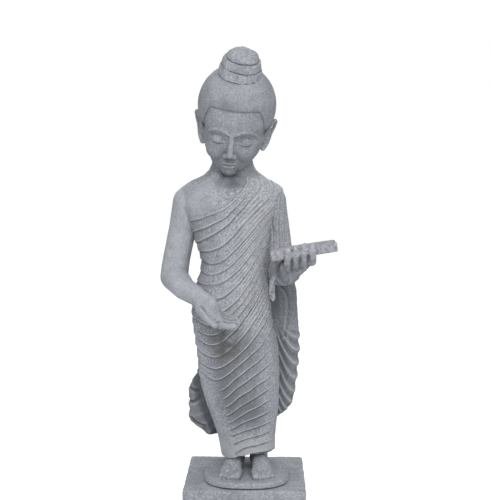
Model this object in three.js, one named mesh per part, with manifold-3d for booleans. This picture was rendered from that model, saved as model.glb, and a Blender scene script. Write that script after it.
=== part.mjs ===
// Standing Buddha statue in grey volcanic stone, 1.27 m tall, built the way a mason builds a figure
// whose arms reach outside its block: a robed body block, with the head, the hair knot, the right
// forearm, the left hand, the tablet it holds and the feet as blocks of their own. Steel dowels pin
// the blocks together, and the whole figure is bedded on a plain square plinth.
//
// Frame: millimetres, +Z up, the figure faces -Y, and +X is the figure's own left.
// The origin is the centre of the plinth's underside.
import * as THREE from "three";
import { ConvexGeometry } from "three/addons/geometries/ConvexGeometry.js";
import { mergeVertices } from "three/addons/utils/BufferGeometryUtils.js";
import Module from "manifold-3d";

const wasm = await Module();
wasm.setup();

// ---------------------------------------------------------------- driving dimensions
const JOINT_GAP = 0.3; // between two blocks that meet face to face
const DOWEL_GAP = 0.4; // resin round a dowel, on the radius

const PLINTH = { width: 340, depth: 310, height: 62, corner: 14, chamfer: 5 };
const BED_THICK = 3;
const STEP = { halfWidth: 124, halfDepth: 122, height: 14 };

const HEM_Z = 132; // the skirt's lower edge
const ANKLE_TOP = 172; // the ankles stand in a pocket under the skirt
const ANKLES = [
  { side: "right", x: -28 },
  { side: "left", x: 38 },
];
const ANKLE_Y = 8;
const ANKLE_RADIUS = 27;

const NECK_SEAT = 928; // the head block sits on the body at the base of the neck
const NECK_X = -37;
const ELBOW_SEAT = 668; // the right arm is joined level, just above the elbow
const CUFF_SEAT_Y = -104; // the left hand is let into the sleeve on this upright plane

const HEAD = { x: -29, y: -36, z: 1066, nod: 20, lean: 7 }; // degrees forward and to its left
const SKULL = { halfWidth: 107, halfDepth: 112, halfHeight: 112, up: 52, back: 14, square: 2.2 };
const FACE = { halfWidth: 86, halfDepth: 94, halfHeight: 112, down: 26, front: 8, square: 2 };
const KNOT = { seat: 139, forward: 7, radius: 60, height: 77, nod: 9, lean: 4 }; // tipped on the head

const TABLET = { x: 158, y: -168, z: 728, length: 176, depth: 92, thick: 25, rise: 8.6 };

const SMOOTH = 2; // subdivision of the balls that limbs are made of
const COARSE = 1; // the same for fingers and toes
const FINGER_BEND = 4; // how far the open hand's fingers sag at the middle joint

// ---------------------------------------------------------------- solids
const v3 = (x, y, z) => new THREE.Vector3(x, y, z);

// A closed three.js geometry as a manifold-3d solid.
function solid(geometry) {
  const bare = geometry.index ? geometry.toNonIndexed() : geometry.clone();
  bare.deleteAttribute("normal");
  bare.deleteAttribute("uv");
  const merged = mergeVertices(bare, 1e-3);
  return new wasm.Manifold(
    new wasm.Mesh({
      numProp: 3,
      vertProperties: new Float32Array(merged.attributes.position.array),
      triVerts: new Uint32Array(merged.index.array),
    }),
  );
}

const join = (...solids) => solids.flat().reduce((sum, next) => sum.add(next));

// A manifold-3d solid back as a three.js geometry.
function geometryOf(body) {
  const { numProp, vertProperties, triVerts } = body.getMesh();
  const points = new Float32Array((vertProperties.length / numProp) * 3);
  for (let i = 0; i < points.length / 3; i++) {
    points.set(vertProperties.subarray(i * numProp, i * numProp + 3), i * 3);
  }
  const geometry = new THREE.BufferGeometry();
  geometry.setAttribute("position", new THREE.BufferAttribute(points, 3));
  geometry.setIndex(new THREE.BufferAttribute(new Uint32Array(triVerts), 1));
  geometry.computeVertexNormals();
  return geometry;
}

// A block whose level sections are rounded ovals. Each key is one section: its centre, half width,
// half depth and squareness (2 is an ellipse). Splines run through the keys from bottom to top.
function ovalBlock(keys, sides, rings) {
  const centres = new THREE.CatmullRomCurve3(keys.map((k) => v3(k.x, k.y, k.z)));
  const shapes = new THREE.CatmullRomCurve3(keys.map((k) => v3(k.wide, k.deep, k.square ?? 2)));
  const tube = new THREE.CylinderGeometry(1, 1, 1, sides, rings);
  const place = tube.attributes.position;
  for (let i = 0; i < place.count; i++) {
    const along = place.getY(i) + 0.5;
    const centre = centres.getPoint(along);
    const shape = shapes.getPoint(along);
    const rounded = (c) => Math.sign(c) * Math.abs(c) ** (2 / shape.z);
    const x = centre.x + shape.x * rounded(place.getX(i));
    const y = centre.y - shape.y * rounded(place.getZ(i));
    place.setXYZ(i, x, y, centre.z);
  }
  return solid(tube);
}

// The solid stretched over a set of balls, each given as [x, y, z, radius].
function stretched(balls, detail = SMOOTH) {
  const points = [];
  for (const [x, y, z, radius] of balls) {
    const ball = new THREE.IcosahedronGeometry(radius, detail).translate(x, y, z).attributes.position;
    for (let i = 0; i < ball.count; i++) points.push(new THREE.Vector3().fromBufferAttribute(ball, i));
  }
  return solid(new ConvexGeometry(points));
}

// A limb: the solid stretched over each ball and the next.
const limb = (balls, detail) => join(balls.slice(1).map((ball, i) => stretched([balls[i], ball], detail)));

// A ball stretched to three half sizes; above 2, square makes its shoulders fuller than an ellipse.
function ovalBall({ halfWidth, halfDepth, halfHeight, square }, centre) {
  const ball = new THREE.SphereGeometry(1, 28, 18).rotateX(Math.PI / 2);
  const place = ball.attributes.position;
  for (let i = 0; i < place.count; i++) {
    const way = new THREE.Vector3().fromBufferAttribute(place, i);
    const sum = way.toArray().reduce((total, c) => total + Math.abs(c) ** square, 0);
    place.setXYZ(i, ...way.multiplyScalar(sum ** (-1 / square)).toArray());
  }
  return solid(ball.scale(halfWidth, halfDepth, halfHeight).translate(...centre));
}

// A box given by two opposite corners.
function boxBetween(low, high) {
  const size = high.map((h, i) => h - low[i]);
  const middle = high.map((h, i) => (h + low[i]) / 2);
  return solid(new THREE.BoxGeometry(...size).translate(...middle));
}

const FAR = 2000;
const below = (z) => boxBetween([-FAR, -FAR, -FAR], [FAR, FAR, z]);
const above = (z) => boxBetween([-FAR, -FAR, z], [FAR, FAR, FAR]);

// A round bar from one point to another.
function bar(from, to, radius, sides = 20) {
  const start = v3(...from);
  const way = v3(...to).sub(start);
  const turn = new THREE.Quaternion().setFromUnitVectors(v3(0, 1, 0), way.clone().normalize());
  const round = new THREE.CylinderGeometry(radius, radius, way.length(), sides).applyQuaternion(turn);
  return solid(round.translate(...start.addScaledVector(way, 0.5).toArray()));
}

// ---------------------------------------------------------------- dowels
const DOWELS = {
  neck_dowel: { from: [NECK_X, 10, 850], to: [NECK_X, 10, 1000], radius: 8 },
  right_elbow_dowel: { from: [-198, 8, 636], to: [-190, 6, 712], radius: 6 },
  left_wrist_dowel: { from: [119, -152, 661], to: [113, -54, 659], radius: 6 },
};
for (const { side, x } of ANKLES) {
  DOWELS[`${side}_ankle_dowel`] = { from: [x, ANKLE_Y, 20], to: [x, ANKLE_Y, 262], radius: 7 };
}

// The hole for a dowel, longer than the bar at both ends by the resin gap.
function dowelHole({ from, to, radius }) {
  const way = v3(...to).sub(v3(...from)).normalize().multiplyScalar(DOWEL_GAP);
  const start = v3(...from).sub(way).toArray();
  const end = v3(...to).add(way).toArray();
  return bar(start, end, radius + DOWEL_GAP);
}

// ---------------------------------------------------------------- body and limbs
const SKIRT_AND_TORSO = [
  { z: HEM_Z, x: 9, y: 2, wide: 77, deep: 67, square: 2.3 },
  { z: 190, x: 2, y: 0, wide: 85, deep: 75, square: 2.3 },
  { z: 240, x: -4, y: 0, wide: 97, deep: 83, square: 2.3 },
  { z: 340, x: -17, y: 0, wide: 115, deep: 94, square: 2.2 },
  { z: 440, x: -25, y: -2, wide: 118, deep: 102, square: 2.2 },
  { z: 530, x: -40, y: -4, wide: 115, deep: 105, square: 2.2 },
  { z: 610, x: -40, y: -2, wide: 106, deep: 98, square: 2.2 },
  { z: 680, x: -35, y: 2, wide: 98, deep: 88, square: 2.2 },
  { z: 740, x: -35, y: 2, wide: 107, deep: 92, square: 2.2 },
  { z: 800, x: -38, y: 2, wide: 124, deep: 96, square: 2.2 },
  { z: 850, x: -41, y: 4, wide: 146, deep: 88, square: 2.2 },
  { z: 884, x: -40, y: 6, wide: 147, deep: 76, square: 2.1 },
  { z: 908, x: -38, y: 8, wide: 118, deep: 66, square: 2 },
  { z: 928, x: NECK_X, y: 9, wide: 76, deep: 60, square: 2 },
  { z: 944, x: NECK_X, y: 9, wide: 56, deep: 55, square: 2 },
];

// The robe's back panel, which hangs from both shoulders and the left forearm to below the knees.
const BACK_PANEL = [
  { z: 160, x: -88, y: 54, wide: 24, deep: 18 },
  { z: 176, x: -78, y: 54, wide: 54, deep: 30 },
  { z: 198, x: -50, y: 54, wide: 106, deep: 38 },
  { z: 224, x: -25, y: 54, wide: 134, deep: 43, square: 2.2 },
  { z: 252, x: -12, y: 54, wide: 146, deep: 46, square: 2.2 },
  { z: 296, x: -7, y: 54, wide: 152, deep: 48, square: 2.3 },
  { z: 350, x: 4, y: 54, wide: 149, deep: 50, square: 2.3 },
  { z: 440, x: 14, y: 52, wide: 145, deep: 50, square: 2.3 },
  { z: 530, x: 15, y: 50, wide: 138, deep: 50, square: 2.3 },
  { z: 620, x: 10, y: 48, wide: 136, deep: 48, square: 2.2 },
  { z: 700, x: -8, y: 42, wide: 118, deep: 48, square: 2.2 },
  { z: 790, x: -28, y: 32, wide: 118, deep: 52, square: 2.2 },
  { z: 880, x: -40, y: 24, wide: 88, deep: 42, square: 2.2 },
];

const RIGHT_ARM = [
  [-160, 4, 848, 47],
  [-180, 8, 770, 39],
  [-197, 10, 690, 39],
  [-204, 0, 636, 40],
  [-168, -74, 611, 32],
  [-117, -134, 590, 25],
];

const LEFT_SLEEVE = [
  [68, 4, 850, 48],
  [82, 8, 770, 44],
  [94, 8, 700, 44],
  [102, 0, 656, 46],
  [118, -104, 662, 36],
];

const neckForm = () => limb([
  [NECK_X, 8, 880, 60],
  [-36, 2, 1000, 56],
]);

function makeBody() {
  const robe = ovalBlock(SKIRT_AND_TORSO, 44, 30);
  const panel = ovalBlock(BACK_PANEL, 40, 18);
  const shoulderAndArm = limb(RIGHT_ARM.slice(0, 4)).intersect(above(ELBOW_SEAT + JOINT_GAP));
  const cuffFront = boxBetween([-FAR, -FAR, -FAR], [FAR, CUFF_SEAT_Y, FAR]);
  const sleeve = limb(LEFT_SLEEVE).subtract(cuffFront);
  const anklePocket = ovalBlock(
    [
      { z: HEM_Z - 20, x: 5, y: ANKLE_Y, wide: 62, deep: 40 },
      { z: ANKLE_TOP + JOINT_GAP, x: 5, y: ANKLE_Y, wide: 62, deep: 40 },
    ],
    28,
    1,
  );
  const holes = Object.values(DOWELS).map(dowelHole);
  return join(robe, panel, shoulderAndArm, sleeve)
    .subtract(above(NECK_SEAT - JOINT_GAP))
    .subtract(anklePocket)
    .subtract(join(holes));
}

// ---------------------------------------------------------------- head and hair knot
// The head is modelled upright about its own centre, then nods forward and leans to its left.
function tipped([x, y, z], { nod, lean }) {
  return new THREE.Matrix4()
    .makeTranslation(x, y, z)
    .multiply(new THREE.Matrix4().makeRotationY(THREE.MathUtils.degToRad(lean)))
    .multiply(new THREE.Matrix4().makeRotationX(THREE.MathUtils.degToRad(nod)));
}
const headPlace = tipped([HEAD.x, HEAD.y, HEAD.z], HEAD);
const knotPlace = headPlace.clone().multiply(tipped([0, -KNOT.forward, KNOT.seat], KNOT));

// One long-lobed ear: a thin upright oval, swept back a little.
function ear(side) {
  const x = side * (FACE.halfWidth + 6);
  const rim = [
    [x, 12, 36, 8],
    [x + side * 10, 26, 42, 7],
    [x + side * 3, 22, -16, 8],
    [x - side * 7, 10, -58, 9],
  ];
  return stretched(rim, COARSE);
}

function makeHead() {
  const skull = ovalBall(SKULL, [0, SKULL.back, SKULL.up]);
  const face = ovalBall(FACE, [0, -FACE.front, -FACE.down]);
  const nose = stretched([[0, -92, -4, 7], [0, -106, -44, 9], [-11, -92, -48, 8], [11, -92, -48, 8]], COARSE);
  const knotSeat = bar([0, 0, 0], [0, 0, 200], KNOT.radius + 2, 40).transform(knotPlace.toArray());
  return join(skull, face, nose, ear(-1), ear(1))
    .transform(headPlace.toArray())
    .subtract(knotSeat)
    .add(neckForm().intersect(above(NECK_SEAT)))
    .intersect(above(NECK_SEAT))
    .subtract(dowelHole(DOWELS.neck_dowel))
    .subtract(dowelHole(DOWELS.topknot_dowel));
}

// The knot is three coils of hair, one on another: two bands and a round crown, each narrower
// than the last. Each inset is a share of the coil's radius at a share of its height.
function makeKnot() {
  const band = [[0, 0.07], [0.2, 0], [0.6, 0.02], [0.97, 0.07]];
  const crown = [[0, 0.1], [0.2, 0.01], [0.5, 0.09], [0.8, 0.34], [0.94, 0.61]];
  const coils = [
    { low: 0, high: 27, radius: KNOT.radius, insets: band },
    { low: 27, high: 49, radius: KNOT.radius * 0.91, insets: band },
    { low: 49, high: KNOT.height, radius: KNOT.radius * 0.73, insets: crown },
  ];
  const outline = [new THREE.Vector2(0, 0)];
  for (const { low, high, radius, insets } of coils) {
    for (const [share, inset] of insets) {
      outline.push(new THREE.Vector2(radius * (1 - inset), low + (high - low) * share));
    }
  }
  outline.push(new THREE.Vector2(0, KNOT.height));
  const lathe = new THREE.LatheGeometry(outline, 32).rotateX(Math.PI / 2);
  return solid(lathe.translate(0, 0, JOINT_GAP))
    .transform(knotPlace.toArray())
    .subtract(dowelHole(DOWELS.topknot_dowel));
}

const knotAxis = [40, -24].map((along) => v3(0, 0, along).applyMatrix4(knotPlace).toArray());
DOWELS.topknot_dowel = { from: knotAxis[1], to: knotAxis[0], radius: 5 };

// ---------------------------------------------------------------- hands and tablet
// The right hand is held open before the belly, the palm turned up and forward.
function makeRightForearm() {
  const wrist = RIGHT_ARM.at(-1);
  const forearm = limb(RIGHT_ARM.slice(2)).intersect(below(ELBOW_SEAT));
  const palm = stretched([
    [-112, -152, 570, 20],
    [-62, -182, 529, 13],
    [-62, -148, 545, 11],
    [-92, -134, 583, 15],
  ], COARSE);
  const fingers = [
    { root: [-62, -187, 529, 9.5], tip: [-25, -207, 531, 7] },
    { root: [-58, -173, 535, 9.5], tip: [-15, -194, 537, 7] },
    { root: [-57, -159, 540, 9.5], tip: [-18, -179, 542, 7] },
    { root: [-59, -146, 544, 9], tip: [-30, -162, 547, 6.5] },
  ].map(({ root, tip }) => {
    const middle = root.map((value, i) => (value + tip[i]) / 2);
    middle[2] -= FINGER_BEND;
    return limb([root, middle, tip], COARSE);
  });
  const thumb = limb([
    [-119, -156, 567, 15],
    [-99, -182, 546, 12.5],
    [-77, -200, 532, 10],
  ], COARSE);
  return join(forearm, stretched([wrist, [-112, -152, 570, 20], [-92, -134, 583, 15]]), palm, fingers, thumb)
    .subtract(dowelHole(DOWELS.right_elbow_dowel));
}

const tabletPlace = new THREE.Matrix4()
  .makeTranslation(TABLET.x, TABLET.y, TABLET.z)
  .multiply(new THREE.Matrix4().makeRotationY(-THREE.MathUtils.degToRad(TABLET.rise)));

function tabletBlock(grow = 0) {
  const size = [TABLET.length, TABLET.depth, TABLET.thick].map((s) => s + 2 * grow);
  return solid(new THREE.BoxGeometry(...size)).transform(tabletPlace.toArray());
}

// The left hand comes out of the sleeve palm up, with the fingers bent up in front of the tablet.
function makeLeftHand() {
  const wrist = limb([
    [118, CUFF_SEAT_Y + 20, 662, 26],
    [119, -150, 661, 24],
  ]);
  const palm = stretched([
    [119, -150, 661, 24],
    [120, -176, 662, 23],
    [109, -194, 686, 14],
    [174, -192, 704, 13],
    [112, -140, 690, 14],
    [168, -142, 694, 13],
  ], COARSE);
  const fingers = [0, 1, 2, 3].map((i) => {
    const x = 116 + i * 21;
    const rootZ = 686 + i * 5;
    const tipZ = [731, 739, 744, 744][i];
    const foot = [x, -204, rootZ, 12];
    const knuckle = [x, -225, rootZ + 16, 11];
    return limb([foot, knuckle, [x, -227, tipZ - 12, 10], [x, -224, tipZ, 8.5]], COARSE);
  });
  const thumb = limb([
    [154, -142, 690, 13],
    [172, -108, 706, 12],
    [172, -107, 734, 11],
    [165, -130, 748, 9],
  ], COARSE);
  const beforeCuff = boxBetween([-FAR, -FAR, -FAR], [FAR, CUFF_SEAT_Y - JOINT_GAP, FAR]);
  return join(join(wrist, palm, fingers).intersect(beforeCuff), thumb)
    .subtract(tabletBlock(JOINT_GAP))
    .subtract(dowelHole(DOWELS.left_wrist_dowel))
    .subtract(dowelHole(DOWELS.tablet_dowel));
}

DOWELS.tablet_dowel = { from: [146, -168, 692], to: [142, -168, 732], radius: 4 };

const makeTablet = () => tabletBlock().subtract(dowelHole(DOWELS.tablet_dowel));

// ---------------------------------------------------------------- feet, bed and plinth
const BED_TOP = PLINTH.height + BED_THICK;
const STEP_LOW = BED_TOP + JOINT_GAP;
const STEP_TOP = STEP_LOW + STEP.height;

// One bare foot with its ankle; outward is +1 for the figure's left foot and -1 for its right.
function makeFoot(x, outward) {
  const sole = STEP_TOP - 2;
  const turned = (along) => x + outward * along * 0.16; // feet point a little outwards
  const heel = [x, 34, sole + 24, 24];
  const instep = [turned(20), -24, sole + 30, 22];
  const ball = [-1, 1].map((s) => [turned(78) + s * 17, -74, sole + 13, 14]);
  const ankle = limb([[x, ANKLE_Y + 8, sole + 26, ANKLE_RADIUS], [x, ANKLE_Y, 132, ANKLE_RADIUS - 3]]);
  const shin = bar([x, ANKLE_Y, 120], [x, ANKLE_Y, ANKLE_TOP], ANKLE_RADIUS - 3, 24);
  const toes = [0, 1, 2, 3, 4].map((i) => {
    const across = outward * (-24 + i * 11.5);
    const reach = [-114, -114, -109, -103, -95][i];
    const radius = [12, 9, 8.5, 8, 7.5][i];
    const root = [turned(74) + across * 0.9, -78, sole + radius + 3, radius];
    return limb([root, [turned(110) + across, reach, sole + radius, radius * 0.9]], COARSE);
  });
  return join(stretched([heel, instep], COARSE), stretched([instep, ...ball], COARSE),
    stretched([heel, ...ball], COARSE), ankle, shin, toes);
}

function makeFeet() {
  const step = ovalBlock(
    [
      { z: STEP_LOW, x: 4, y: -26, wide: STEP.halfWidth, deep: STEP.halfDepth, square: 2.6 },
      { z: STEP_TOP, x: 4, y: -26, wide: STEP.halfWidth - 5, deep: STEP.halfDepth - 5, square: 2.6 },
    ],
    40,
    1,
  );
  const feet = ANKLES.map(({ x }) => makeFoot(x, Math.sign(x)));
  const holes = ANKLES.map(({ side }) => dowelHole(DOWELS[`${side}_ankle_dowel`]));
  return join(step, feet)
    .subtract(below(STEP_LOW))
    .subtract(join(holes));
}

const ankleHoles = () => join(ANKLES.map(({ side }) => dowelHole(DOWELS[`${side}_ankle_dowel`])));

function makeBed() {
  const size = { wide: STEP.halfWidth - 12, deep: STEP.halfDepth - 12, square: 2.6, x: 4, y: -26 };
  const bed = ovalBlock([{ ...size, z: PLINTH.height + JOINT_GAP }, { ...size, z: BED_TOP }], 32, 1);
  return bed.subtract(ankleHoles());
}

function makePlinth() {
  const { width, depth, height, corner, chamfer } = PLINTH;
  const outline = new THREE.Shape();
  const [x, y, r] = [width / 2 - chamfer, depth / 2 - chamfer, corner - chamfer];
  outline.moveTo(-x + r, -y).lineTo(x - r, -y).absarc(x - r, -y + r, r, -Math.PI / 2, 0);
  outline.absarc(x - r, y - r, r, 0, Math.PI / 2).absarc(-x + r, y - r, r, Math.PI / 2, Math.PI);
  outline.absarc(-x + r, -y + r, r, Math.PI, 1.5 * Math.PI);
  const block = new THREE.ExtrudeGeometry(outline, {
    depth: height - 2 * chamfer,
    bevelThickness: chamfer,
    bevelSize: chamfer,
    bevelSegments: 1,
    curveSegments: 4,
  });
  return solid(block.translate(0, 0, chamfer)).subtract(ankleHoles());
}

// ---------------------------------------------------------------- the assembly
const stone = new THREE.MeshStandardMaterial({ color: "#8f9299", roughness: 0.92, metalness: 0 });
const palerStone = new THREE.MeshStandardMaterial({ color: "#96989e", roughness: 0.92, metalness: 0 });
const mortar = new THREE.MeshStandardMaterial({ color: "#a8a59c", roughness: 0.95, metalness: 0 });
const steel = new THREE.MeshStandardMaterial({ color: "#b4b7ba", roughness: 0.4, metalness: 1 });

const statue = new THREE.Group();

function add(name, body, material) {
  const mesh = new THREE.Mesh(geometryOf(body), material);
  mesh.name = name;
  statue.add(mesh);
}

add("plinth", makePlinth(), stone);
add("mortar_bed", makeBed(), mortar);
add("foot_block", makeFeet(), stone);
add("body_block", makeBody(), stone);
add("head_block", makeHead(), stone);
add("topknot", makeKnot(), stone);
add("right_forearm", makeRightForearm(), stone);
add("left_hand", makeLeftHand(), palerStone);
add("tablet", makeTablet(), palerStone);
for (const [name, { from, to, radius }] of Object.entries(DOWELS)) add(name, bar(from, to, radius), steel);

export default statue;
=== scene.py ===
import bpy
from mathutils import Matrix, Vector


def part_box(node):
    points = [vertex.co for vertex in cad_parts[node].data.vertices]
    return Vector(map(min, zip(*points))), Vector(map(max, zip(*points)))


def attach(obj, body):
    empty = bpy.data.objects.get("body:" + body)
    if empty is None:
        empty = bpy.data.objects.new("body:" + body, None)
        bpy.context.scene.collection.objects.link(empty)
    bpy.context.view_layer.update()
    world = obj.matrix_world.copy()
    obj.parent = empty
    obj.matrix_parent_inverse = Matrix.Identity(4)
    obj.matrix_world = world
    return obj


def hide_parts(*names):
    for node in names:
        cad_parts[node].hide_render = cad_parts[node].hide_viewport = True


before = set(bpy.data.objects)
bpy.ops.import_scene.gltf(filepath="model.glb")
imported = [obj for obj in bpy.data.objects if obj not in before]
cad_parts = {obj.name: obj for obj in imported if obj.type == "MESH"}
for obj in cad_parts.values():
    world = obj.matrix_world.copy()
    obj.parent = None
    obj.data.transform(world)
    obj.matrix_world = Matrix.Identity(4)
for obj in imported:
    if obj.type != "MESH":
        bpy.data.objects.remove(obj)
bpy.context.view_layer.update()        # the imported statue: one mesh for each stone block and dowel

import math
from types import SimpleNamespace

import bmesh
import bpy
import numpy as np
from bpy.props import FloatProperty, FloatVectorProperty, PointerProperty
from bpy.types import Operator, Panel, PropertyGroup
from mathutils import Matrix, Vector

bl_info = {
    "name": "Standing Buddha Carver",
    "version": (1, 0, 0),
    "blender": (4, 5, 0),
    "location": "View3D > Sidebar > Statue",
    "description": "Carves the robe, head, hands and feet of a standing stone Buddha over its plain blocks",
    "category": "Object",
}

MM = 0.001
BODY = "root"
WELD = 1e-5  # the plain blocks arrive as loose triangles; this closes them
OVERLAP = 2 * MM  # how far the forearm and the hand are let into the body before they are fused
AT_JOINT = 0.4 * MM  # corners this close to a joint belong to it
BEAD_SPACING = 0.35  # between the balls of a limb, in radii
SHARP = math.radians(50)  # edges sharper than this are shaded as edges
FIGURE_TRIANGLES = 215000  # at most, after thinning
HEAD_TRIANGLES = 180000
FEET_TRIANGLES = 90000


# ---------------------------------------------------------------- the statue's forms
# The robe in level sections, in millimetres: height, centre left-right, centre front-back,
# half width and half depth.
ROBE_FORM = np.array([
    (132, 9, 2, 77, 67), (190, 2, 0, 85, 75), (240, -4, 0, 97, 83), (340, -17, 0, 115, 94),
    (440, -25, -2, 118, 102), (530, -40, -4, 115, 105), (610, -40, -2, 106, 98),
    (680, -35, 2, 98, 88), (740, -35, 2, 107, 92), (800, -38, 2, 124, 96),
    (850, -41, 4, 146, 88), (884, -40, 6, 147, 76), (908, -38, 8, 118, 66), (928, -37, 9, 76, 60),
]) * MM

# The back panel in the same kind of sections.
BACK_FORM = np.array([
    (160, -88, 54, 24, 18), (176, -78, 54, 54, 30), (198, -50, 54, 106, 38), (224, -25, 54, 134, 43),
    (252, -12, 54, 146, 46), (296, -7, 54, 152, 48), (350, 4, 54, 149, 50), (440, 14, 52, 145, 50),
    (530, 15, 50, 138, 50), (620, 10, 48, 136, 48), (700, -8, 42, 118, 48), (790, -28, 32, 118, 52),
    (880, -40, 24, 88, 42),
]) * MM

# The arms as balls along their bones: x, y, z and radius.
RIGHT_ARM = np.array([
    (-160, 4, 848, 47), (-180, 8, 770, 39), (-197, 10, 690, 39), (-204, 0, 636, 40),
    (-168, -74, 611, 32), (-117, -134, 590, 25),
]) * MM
LEFT_SLEEVE = np.array([
    (68, 4, 850, 48), (82, 8, 770, 44), (94, 8, 700, 44), (102, 0, 656, 46), (118, -104, 662, 36),
]) * MM

# How the robe's folds hang across the front. Each guide is the number of folds above it, then its
# height at five even stations from the figure's right side to its left. Folds between two guides
# share the space between them.
FOLD_GUIDES = [
    (0, (796, 812, 845, 925, 1000)),
    (2, (735, 762, 803, 885, 975)),
    (4, (690, 683, 714, 778, 880)),
    (6, (633, 624, 650, 706, 800)),
    (8, (560, 540, 568, 630, 724)),
    (11, (480, 458, 495, 562, 645)),
    (13, (412, 392, 424, 482, 548)),
    (15, (355, 325, 366, 412, 465)),
    (17, (300, 276, 310, 345, 386)),
    (19, (250, 230, 257, 285, 312)),
    (21, (202, 194, 212, 225, 242)),
    (23, (148, 146, 161, 169, 179)),
    (24, (112, 114, 127, 135, 145)),
]
BACK_SAG = 62 * MM  # how far the folds dip across the back of the skirt
PANEL_PITCH = 41 * MM  # between two folds of the back panel, seen from the front
FINE_FOLDS = 3  # thin folds to each broad one over the left half of the chest and belly
ROBE_TOP = -0.30  # the robe's upper edge, counted in folds down from the first guide
LAST_FOLD = 23.75  # the folds end here, above the hem

# Where parts of the figure begin, in metres.
HANDS_Y = -0.118  # both hands lie in front of this
LEFT_HAND_X = 0.06  # the left hand and its cuff lie to the left of this
CUFF_Y = -0.104  # the joint at the left cuff
SLEEVE_Z = 0.60  # the left sleeve lies above this
RIGHT_ARM_X = -0.150  # the right elbow lies to the right of this

# Patches that are treated in their own way: the centre and the radii of each.
WORN_CHEST = (0.045, -0.06, 0.885), (0.085, 0.10, 0.075)
BARE_CHEST = (-0.04, -0.07, 0.870), (0.075, 0.06, 0.060)
UNDER_CHIN = (-0.042, -0.060, 0.914), (0.068, 0.06, 0.040)
BELLY = (0.050, -0.08, 0.580), (0.075, 0.12, 0.095)
UNDER_HAND = (-0.056, -0.100, 0.462), (0.062, 0.06, 0.072)
WAIST = (-0.135, 0, 0.670), (0.05, 0.12, 0.075)
PANEL_CRUMBLE = (0.107, 0.03, 0.462), (0.030, 0.20, 0.040)

# Lines that are cut into the stone, as left-right places and heights.
PANEL_TUCKS = (
    [(-0.176, 0.271), (-0.155, 0.262), (-0.143, 0.264), (-0.130, 0.277)],
    [(-0.166, 0.308), (-0.150, 0.302), (-0.134, 0.297)],
    [(-0.150, 0.215), (-0.140, 0.200), (-0.120, 0.192)])
PANEL_LOOP = [
    (0.092, 0.612), (0.108, 0.594), (0.116, 0.573), (0.117, 0.536), (0.111, 0.490), (0.104, 0.465)]
LOOP_SHADE = [(x + 0.010, z - 0.002) for x, z in PANEL_LOOP]
THUMB_CREASE = [(-0.116, 0.578), (-0.110, 0.571), (-0.088, 0.549), (-0.073, 0.537), (-0.064, 0.539)]

HEAD_CENTRE = Vector((-29, -36, 1066)) * MM
HEAD_NOD = math.radians(20)
HEAD_LEAN = math.radians(7)
HEAD_PLACE = (
    Matrix.Translation(HEAD_CENTRE)
    @ Matrix.Rotation(HEAD_LEAN, 4, "Y")
    @ Matrix.Rotation(HEAD_NOD, 4, "X")
)
# The cut between head and body dips forward, clear of the chin.
NECK_POINT = Vector((-37, 9, 928)) * MM
NECK_WAY = Matrix.Rotation(math.radians(10), 3, "X") @ Vector((0, 0, 1))
# The hair knot sits on the crown, tipped a little further forward and to the left.
KNOT_PLACE = (
    HEAD_PLACE
    @ Matrix.Translation((0, -7 * MM, 139 * MM))
    @ Matrix.Rotation(math.radians(4), 4, "Y")
    @ Matrix.Rotation(math.radians(9), 4, "X")
)
# Each coil of the knot: its foot and top, then its radius at the foot and at the top.
KNOT_COILS = [(0, 27, 60, 56.5), (27, 49, 54.5, 50), (49, 77, 44, 0)]


# ---------------------------------------------------------------- sizes and colours a user may change
class StatueSizes(PropertyGroup):
    grid: FloatProperty(
        name="Carving grid", description="Fineness of the stone surface on the body",
        default=2.1 * MM, unit="LENGTH", precision=4)
    fine_grid: FloatProperty(
        name="Fine grid", description="Fineness of the stone surface on the head and feet",
        default=1.5 * MM, unit="LENGTH", precision=4)
    fold_depth: FloatProperty(
        name="Fold depth", description="How far each fold steps in under the one above",
        default=4.6 * MM, unit="LENGTH", precision=4)
    robe_edge: FloatProperty(
        name="Robe edge", description="How far the robe's upper edge stands off the chest",
        default=2.4 * MM, unit="LENGTH", precision=4)
    hair_edge: FloatProperty(
        name="Hair edge", description="How far the cap of hair stands off the forehead",
        default=7 * MM, unit="LENGTH", precision=4)


class StatueColours(PropertyGroup):
    stone: FloatVectorProperty(
        name="Stone", description="The stone's middle grey", subtype="COLOR",
        default=(0.300, 0.315, 0.346), min=0, max=1)
    # also the colour of the painted shade in hollows, under each fold's lip and on the darkened patches
    dark_grain_and_shade: FloatVectorProperty(
        name="Dark grain", description="Pits and dark crystals", subtype="COLOR",
        default=(0.105, 0.112, 0.128), min=0, max=1)
    # also the colour of the painted highlight on fold lips and ridges, and of the painted light on the
    # paler patches
    light_grain_and_highlight: FloatVectorProperty(
        name="Light grain", description="Pale crystals and worn ridges", subtype="COLOR",
        default=(0.60, 0.61, 0.63), min=0, max=1)
    # also painted shade: the patch below the open hand is partly brown stain and partly a painted shadow,
    # and it darkens the gaps between the fingers
    stain: FloatVectorProperty(
        name="Stain", description="Brown weathering below the open hand", subtype="COLOR",
        default=(0.115, 0.108, 0.100), min=0, max=1)


# ---------------------------------------------------------------- mesh helpers
def welded(node):
    """A bmesh copy of a plain block, with its loose triangles joined."""
    form = bmesh.new()
    form.from_mesh(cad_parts[node].data)
    bmesh.ops.remove_doubles(form, verts=form.verts, dist=WELD)
    return form


def mesh_of(form, name):
    mesh = bpy.data.meshes.new(name)
    form.to_mesh(mesh)
    form.free()
    return mesh


def add_mesh(form, mesh):
    """Adds a mesh to a bmesh, and gives the bmesh back."""
    form.from_mesh(mesh)
    bpy.data.meshes.remove(mesh)
    return form


def piece_of(mesh, name):
    piece = bpy.data.objects.new(name, mesh)
    bpy.context.scene.collection.objects.link(piece)
    return piece


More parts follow.
